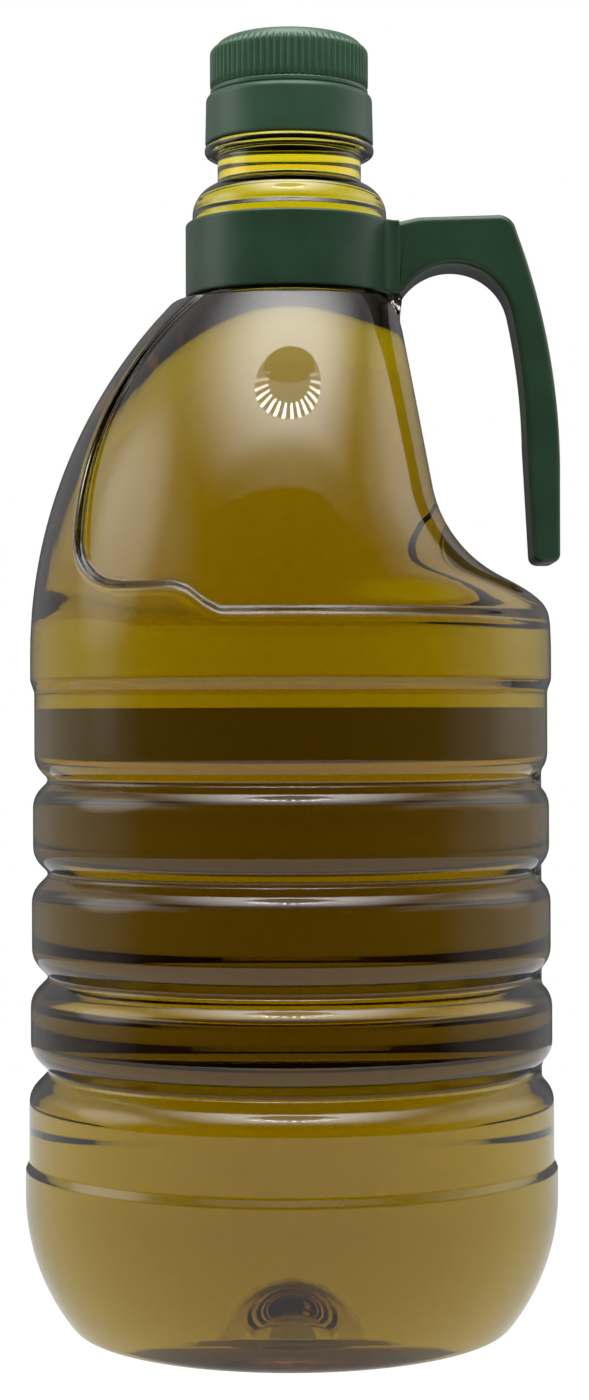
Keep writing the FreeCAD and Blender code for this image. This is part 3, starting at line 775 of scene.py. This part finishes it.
# The way from the jug to the lamp high in front, and the way down across its face.
LAMP_WAY = (0.0, -0.337, 0.9415)
LAMP_DOWN = (0.0, -0.9415, -0.337)
LEFT_BOX = (-0.93, 0.0, 0.37)
RIGHT_BOX = (0.86, 0.35, 0.37)

def look_at(thing, target):
    thing.rotation_euler = (Vector(target) - thing.location).to_track_quat("-Z", "Y").to_euler()


def area_lamp(name, place, target, size, power, shade=(1, 1, 1)):
    data = bpy.data.lights.new(name, "AREA")
    data.shape, data.size, data.energy, data.color = "DISK", size, power, shade
    lamp = bpy.data.objects.new(name, data)
    lamp.location = place
    lamp.visible_glossy = lamp.visible_transmission = False
    bpy.context.scene.collection.objects.link(lamp)
    look_at(lamp, target)
    return lamp


class JUG_OT_stage(Operator):
    """Set up the camera, the table, the surroundings and the lamps"""
    bl_idname = "oil_jug.stage"
    bl_label = "Stage"

    def execute(self, context):
        scene = context.scene
        data = bpy.data.cameras.new("camera")
        data.sensor_fit, data.sensor_height = "VERTICAL", 24.0
        data.lens = 24.0 * 2840 / 1400
        data.shift_y = 20 / 1400
        data.clip_start, data.clip_end = 0.01, 50.0
        camera = bpy.data.objects.new("camera", data)
        camera.location = (0.00085, -0.642, 0.137)
        camera.rotation_euler = (math.pi / 2, math.radians(0.16), 0)
        scene.collection.objects.link(camera)
        scene.camera = camera
        scene.view_settings.view_transform = "Standard"
        scene.cycles.max_bounces = 32
        scene.cycles.transmission_bounces = 32

        self.surroundings(scene)
        self.table()
        self.dark_card()
        area_lamp("overhead", (0, -0.35, 1.05), (0, 0, 0.2), 0.5, 7.0)
        area_lamp("left_softbox", (-0.9, -0.3, 0.35), (0, 0, 0.15), 0.5, 1.7)
        area_lamp("right_softbox", (0.9, -0.25, 0.35), (0, 0, 0.15), 0.5, 1.3)
        return {"FINISHED"}

    def surroundings(self, scene):
        """A studio: a bright backdrop, dim sides, a dark front and a ring lamp high in front.

        The camera sees plain white. Gloss sees the lamp: a dim middle, bright teeth round its lower
        half and a glow that falls off round it.
        """
        world = bpy.data.worlds.new("room")
        world.use_nodes = True
        world.cycles.sampling_method = "NONE"
        scene.world = world
        nodes = Nodes(world.node_tree)
        place = nodes.add("TexCoord", output=0)
        across, depth, rise = (nodes.add("SeparateXYZ", output=k, Vector=place) for k in range(3))

        def along(way):
            return nodes.add("VectorMath", {"operation": "DOT_PRODUCT"}, output=1, _0=place, _1=way)

        def mixed(share, first, second, blend="MIX"):
            return nodes.add("Mix", {"data_type": "RGBA", "blend_type": blend}, output=2,
                             _0=share, _6=first, _7=second)

        def grey(*stops):
            return {"stops": [(at, (level, level, level, 1)) for at, level in stops]}

        lamp = self.ring_lamp(across, along(LAMP_DOWN), along(LAMP_WAY))
        back = depth * 0.5 + 0.5
        through = nodes.add("ValToRGB", grey((0.0, 0.12), (0.30, 0.20), (0.45, 0.42), (0.55, 0.66), (0.65, 0.84),
                                             (0.75, 0.88), (0.88, 0.82), (1.0, 0.88)), Fac=back)
        through = mixed(1.0, nodes.add("VectorMath", {"operation": "SCALE"}, _0=through, Scale=1.25), lamp * 0.5, "ADD")
        level = (1 - rise.maths("ABSOLUTE", rise).steps(0.016, 0.046)) * depth.steps(0.2, 0.6)
        through = mixed(level, through, (1.34, 1.50, 1.15, 1))
        above = rise.steps(0.14, 0.17) * (1 - rise.steps(0.22, 0.26)) * depth.steps(0.5, 0.8)
        through = mixed(above, through, (1.35, 1.08, 0.90, 1))
        sides = nodes.add("ValToRGB", grey((0.0, 0.008), (0.30, 0.03), (0.45, 0.28), (0.86, 0.40), (0.95, 0.28), (1.0, 0.04)), Fac=back)
        wide = across.maths("ABSOLUTE").steps(0.60, 0.90) * rise.steps(0.10, 0.45)
        boxes = wide * 0.8 + along(LEFT_BOX).steps(0.91, 0.995) * 1.35 + along(RIGHT_BOX).steps(0.88, 0.99) * 0.5
        gloss = mixed(1.0, sides, lamp + boxes, "ADD")
        light = rise.steps(-0.4, 0.4) * 0.40 + 0.04
        shade = mixed(nodes.add("LightPath", output=2), gloss, light)
        shade = mixed(nodes.add("LightPath", output=6), shade, through)
        shade = mixed(nodes.add("LightPath", output=0), shade, (1, 1, 1, 1))
        nodes.add("OutputWorld", Surface=nodes.add("Background", Color=shade, Strength=1.0))

    def ring_lamp(self, across, down, towards):
        """The lamp's brightness: an oval of teeth with a dim disc in it, and a glow cut off below."""
        ahead = towards.steps(0.0, 0.1)
        behind = down.maths("MAXIMUM", down, down * 0.80)
        reach = (across * across + behind * behind).maths("SQRT")
        glow = (1 - reach.steps(0.15, 0.75)) * (1 - 0.62 * down.steps(0.30, 0.46)) * 6.4
        glow = glow * (1 - (down - towards * 0.66).steps(-0.015, 0.015))
        level = (down - 0.09) / 0.198
        over = across / 0.262
        oval = (over * over + level * level).maths("SQRT")
        turn = over.maths("ARCTAN2", over, level)
        inside = 1 - oval.steps(0.97, 1.0)
        disc_level = down / 0.54
        disc = 1 - (across * across + disc_level * disc_level).maths("SQRT").steps(0.185, 0.20)
        teeth = (turn * 24).maths("SINE").steps(0.0, 0.5) * oval.steps(0.58, 0.64) * down.steps(0.0, 0.20)
        middle = 2.0 - 1.2 * disc + 22 * teeth
        return (glow * (1 - inside) + middle * inside) * ahead

    def table(self):
        """A round pale table top: plain white to the camera, with no shadow of the jug; seen through the jug it mostly
        glows, and in gloss it is a plain grey.
        """
        made, nodes = material("pale_table")
        top = nodes.add("BsdfDiffuse", Color=(0.80, 0.80, 0.79, 1))
        glow = nodes.add("Emission", Color=(0.97, 1, 0.95, 1), Strength=1.1 + nodes.add("LightPath", output=6) * 0.08)
        share = nodes.add("LightPath", output=0) + nodes.add("LightPath", output=6) * 0.88
        plain = nodes.add("MixShader", _0=share, _1=top, _2=glow)
        mirror = nodes.add("Emission", Color=(0.75, 0.75, 0.75, 1), Strength=1.0)
        mirrored = nodes.add("LightPath", output=5) * (1 - nodes.add("LightPath", output=2))
        nodes.add("OutputMaterial", Surface=nodes.add("MixShader", _0=mirrored, _1=plain, _2=mirror))
        turns = np.linspace(0, 2 * math.pi, 97)[:-1]
        points = np.column_stack([0.47 * np.cos(turns), 0.47 * np.sin(turns), np.full(96, -0.0002)])
        self.stand("table", points, [list(range(96))], made)

    def dark_card(self):
        """A curved card close behind the jug, bright at the base and dim above, which only shows through the oil."""
        made, nodes = material("backing_card")
        height = nodes.add("SeparateXYZ", output=2, Vector=nodes.add("TexCoord", output=3))
        level = 1.15 + 0.4 * height.steps(0.0, 0.03) - 1.15 * height.steps(0.0425, 0.0435) - 0.14 * height.steps(0.10, 0.13)
        tint = nodes.add("Mix", {"data_type": "RGBA"}, output=2, _0=height.steps(0.0425, 0.0435),
                         _6=(0.92, 1, 0.85, 1), _7=(1.08, 0.98, 0.95, 1))
        nodes.add("OutputMaterial", Surface=nodes.add("Emission", Color=tint, Strength=level))
        turns = np.radians(np.linspace(65, 115, 33))
        ring = np.column_stack([0.077 * np.cos(turns), 0.077 * np.sin(turns)])
        points = np.vstack([np.column_stack([ring, np.full(33, height)]) for height in (0.0, 0.140)])
        index = np.arange(32)
        card = self.stand("dim_card", points, np.column_stack([index, index + 1, index + 34, index + 33]).tolist(), made)
        card.visible_camera = card.visible_diffuse = card.visible_glossy = card.visible_shadow = False

    def stand(self, name, points, faces, finish):
        mesh = bpy.data.meshes.new(name)
        mesh.from_pydata(points.tolist(), [], faces)
        mesh.materials.append(finish)
        thing = bpy.data.objects.new(name, mesh)
        bpy.context.scene.collection.objects.link(thing)
        return thing


class JUG_PT_panel(Panel):
    bl_idname = "JUG_PT_panel"
    bl_label = "Oil jug"
    bl_space_type = "VIEW_3D"
    bl_region_type = "UI"
    bl_category = "Oil Jug"

    def draw(self, context):
        for group in (context.scene.jug_sizes, context.scene.jug_colours):
            for name in group.__annotations__:
                self.layout.prop(group, name)
        for operator in OPERATORS:
            self.layout.operator(operator.bl_idname)


OPERATORS = (JUG_OT_bottle, JUG_OT_oil, JUG_OT_closure, JUG_OT_handle, JUG_OT_stage)
CLASSES = (JugSizes, JugColours, *OPERATORS, JUG_PT_panel)


def register():
    for made in CLASSES:
        bpy.utils.register_class(made)
    bpy.types.Scene.jug_sizes = PointerProperty(type=JugSizes)
    bpy.types.Scene.jug_colours = PointerProperty(type=JugColours)


def unregister():
    del bpy.types.Scene.jug_colours
    del bpy.types.Scene.jug_sizes
    for made in reversed(CLASSES):
        bpy.utils.unregister_class(made)


def main():
    register()
    bpy.ops.oil_jug.bottle()
    bpy.ops.oil_jug.oil()
    bpy.ops.oil_jug.closure()
    bpy.ops.oil_jug.handle()
    bpy.ops.oil_jug.stage()


if __name__ == "__main__":
    main()
